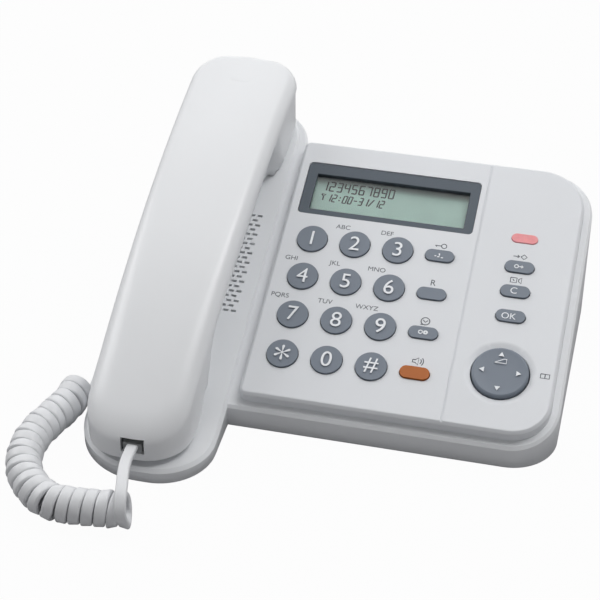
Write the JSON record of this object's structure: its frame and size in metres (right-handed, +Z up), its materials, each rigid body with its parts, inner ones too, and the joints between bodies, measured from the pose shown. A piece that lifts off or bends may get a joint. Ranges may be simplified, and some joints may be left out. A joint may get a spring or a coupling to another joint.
{
  "type": "corded telephone",
  "caption": "Corded desk telephone: sloped key panel with display and dial keys, side cradle with a lift-off handset and a coiled cord.",
  "frame": {"origin": "on the floor in the middle of the outline, cord left out", "axes": "+X to the right of the user, +Y to the back, +Z up"},
  "size_m": [0.2132, 0.2221, 0.0901],
  "materials": {
    "case_plastic": "satin",
    "panel_plastic": "fine satin",
    "handset_plastic": "satin",
    "key_plastic": "satin",
    "speaker_key_plastic": "satin",
    "bezel_plastic": "satin",
    "window_plastic": "clear",
    "lcd": "reflective",
    "lamp_red": "translucent",
    "cord_plastic": "satin",
    "plug_clear": "clear",
    "jack_plastic": "plain",
    "rubber": "matte",
    "circuit_board": "lacquered",
    "steel": "plain",
    "led": "clear",
    "battery": "plain"
  },
  "bodies": {
    "base": {"upper_case": "case_plastic", "lower_case": "case_plastic", "key_panel": "panel_plastic", "display_bezel": "bezel_plastic", "display_window": "window_plastic", "lcd_glass": "lcd", "lcd_holder": "bezel_plastic", "lamp_lens": "lamp_red", "lamp_led": "led", "rubber_mat": "rubber", "key_board": "circuit_board", "main_board": "circuit_board", "line_jack": "jack_plastic", "base_jack": "jack_plastic", "loudspeaker": "steel", "hook_switch": "jack_plastic", "battery_cells": "battery", "battery_contacts": "steel", "case_screws": "steel", "rubber_feet": "rubber", "plug_base": "plug_clear", "cord_coil": "cord_plastic", "cord_tail_base": "cord_plastic"},
    "handset": {"handset_back_shell": "handset_plastic", "handset_front_shell": "handset_plastic", "handset_jack": "jack_plastic", "receiver": "steel", "microphone": "jack_plastic", "handset_weight": "steel", "plug_handset": "plug_clear", "cord_tail_handset": "cord_plastic"},
    "hook_plunger": {"hook_plunger": "jack_plastic"},
    "navigation_pivot": {"navigation_pivot": "jack_plastic"},
    "navigation_disc": {"navigation_disc": "key_plastic"},
    "battery_cover": {"battery_cover": "case_plastic"},
    "dial_key_1": {"dial_key_1": "key_plastic"},
    "dial_key_2": {"dial_key_2": "key_plastic"},
    "dial_key_3": {"dial_key_3": "key_plastic"},
    "dial_key_4": {"dial_key_4": "key_plastic"},
    "dial_key_5": {"dial_key_5": "key_plastic"},
    "dial_key_6": {"dial_key_6": "key_plastic"},
    "dial_key_7": {"dial_key_7": "key_plastic"},
    "dial_key_8": {"dial_key_8": "key_plastic"},
    "dial_key_9": {"dial_key_9": "key_plastic"},
    "dial_key_star": {"dial_key_star": "key_plastic"},
    "dial_key_0": {"dial_key_0": "key_plastic"},
    "dial_key_hash": {"dial_key_hash": "key_plastic"},
    "program_key": {"program_key": "key_plastic"},
    "recall_key": {"recall_key": "key_plastic"},
    "redial_key": {"redial_key": "key_plastic"},
    "speaker_key": {"speaker_key": "speaker_key_plastic"},
    "menu_key_arrow": {"menu_key_arrow": "key_plastic"},
    "menu_key_clear": {"menu_key_clear": "key_plastic"},
    "menu_key_ok": {"menu_key_ok": "key_plastic"}
  },
  "joints": [
    {"name": "handset_lift", "type": "slide", "parent": "base", "child": "handset", "axis": [0, 0, 1], "range_m": [0, 0.1]},
    {"name": "hook_rise", "type": "slide", "parent": "base", "child": "hook_plunger", "axis": [0, -0.342, 0.9397], "range_m": [0, 0.004]},
    {"name": "disc_tilt_up_down", "type": "hinge", "parent": "base", "child": "navigation_pivot", "pos_m": [0.0688, -0.02394, 0.02295], "axis": [1, 0, 0], "range_deg": [-2.4, 2.4], "stiffness_Nm_per_rad": 0.05},
    {"name": "disc_tilt_sideways", "type": "hinge", "parent": "navigation_pivot", "child": "navigation_disc", "pos_m": [0.0688, -0.02394, 0.02295], "axis": [0, 0.9397, 0.342], "range_deg": [-2.4, 2.4], "stiffness_Nm_per_rad": 0.05},
    {"name": "battery_cover_slide", "type": "slide", "parent": "base", "child": "battery_cover", "axis": [0, -1, 0], "range_m": [0, 0.006]},
    {"name": "dial_key_1_press", "type": "slide", "parent": "base", "child": "dial_key_1", "axis": [0, 0.342, -0.9397], "range_m": [0, 0.0012], "stiffness_N_per_m": 600},
    {"name": "dial_key_2_press", "type": "slide", "parent": "base", "child": "dial_key_2", "axis": [0, 0.342, -0.9397], "range_m": [0, 0.0012], "stiffness_N_per_m": 600},
    {"name": "dial_key_3_press", "type": "slide", "parent": "base", "child": "dial_key_3", "axis": [0, 0.342, -0.9397], "range_m": [0, 0.0012], "stiffness_N_per_m": 600},
    {"name": "dial_key_4_press", "type": "slide", "parent": "base", "child": "dial_key_4", "axis": [0, 0.342, -0.9397], "range_m": [0, 0.0012], "stiffness_N_per_m": 600},
    {"name": "dial_key_5_press", "type": "slide", "parent": "base", "child": "dial_key_5", "axis": [0, 0.342, -0.9397], "range_m": [0, 0.0012], "stiffness_N_per_m": 600},
    {"name": "dial_key_6_press", "type": "slide", "parent": "base", "child": "dial_key_6", "axis": [0, 0.342, -0.9397], "range_m": [0, 0.0012], "stiffness_N_per_m": 600},
    {"name": "dial_key_7_press", "type": "slide", "parent": "base", "child": "dial_key_7", "axis": [0, 0.342, -0.9397], "range_m": [0, 0.0012], "stiffness_N_per_m": 600},
    {"name": "dial_key_8_press", "type": "slide", "parent": "base", "child": "dial_key_8", "axis": [0, 0.342, -0.9397], "range_m": [0, 0.0012], "stiffness_N_per_m": 600},
    {"name": "dial_key_9_press", "type": "slide", "parent": "base", "child": "dial_key_9", "axis": [0, 0.342, -0.9397], "range_m": [0, 0.0012], "stiffness_N_per_m": 600},
    {"name": "dial_key_star_press", "type": "slide", "parent": "base", "child": "dial_key_star", "axis": [0, 0.342, -0.9397], "range_m": [0, 0.0012], "stiffness_N_per_m": 600},
    {"name": "dial_key_0_press", "type": "slide", "parent": "base", "child": "dial_key_0", "axis": [0, 0.342, -0.9397], "range_m": [0, 0.0012], "stiffness_N_per_m": 600},
    {"name": "dial_key_hash_press", "type": "slide", "parent": "base", "child": "dial_key_hash", "axis": [0, 0.342, -0.9397], "range_m": [0, 0.0012], "stiffness_N_per_m": 600},
    {"name": "program_key_press", "type": "slide", "parent": "base", "child": "program_key", "axis": [0, 0.342, -0.9397], "range_m": [0, 0.0012], "stiffness_N_per_m": 600},
    {"name": "recall_key_press", "type": "slide", "parent": "base", "child": "recall_key", "axis": [0, 0.342, -0.9397], "range_m": [0, 0.0012], "stiffness_N_per_m": 600},
    {"name": "redial_key_press", "type": "slide", "parent": "base", "child": "redial_key", "axis": [0, 0.342, -0.9397], "range_m": [0, 0.0012], "stiffness_N_per_m": 600},
    {"name": "speaker_key_press", "type": "slide", "parent": "base", "child": "speaker_key", "axis": [0, 0.342, -0.9397], "range_m": [0, 0.0012], "stiffness_N_per_m": 600},
    {"name": "menu_key_arrow_press", "type": "slide", "parent": "base", "child": "menu_key_arrow", "axis": [0, 0.342, -0.9397], "range_m": [0, 0.0012], "stiffness_N_per_m": 600},
    {"name": "menu_key_clear_press", "type": "slide", "parent": "base", "child": "menu_key_clear", "axis": [0, 0.342, -0.9397], "range_m": [0, 0.0012], "stiffness_N_per_m": 600},
    {"name": "menu_key_ok_press", "type": "slide", "parent": "base", "child": "menu_key_ok", "axis": [0, 0.342, -0.9397], "range_m": [0, 0.0012], "stiffness_N_per_m": 600}
  ],
  "couplings": [
    {"joint": "hook_rise", "follows": "handset_lift", "ratio": 0.04}
  ]
}
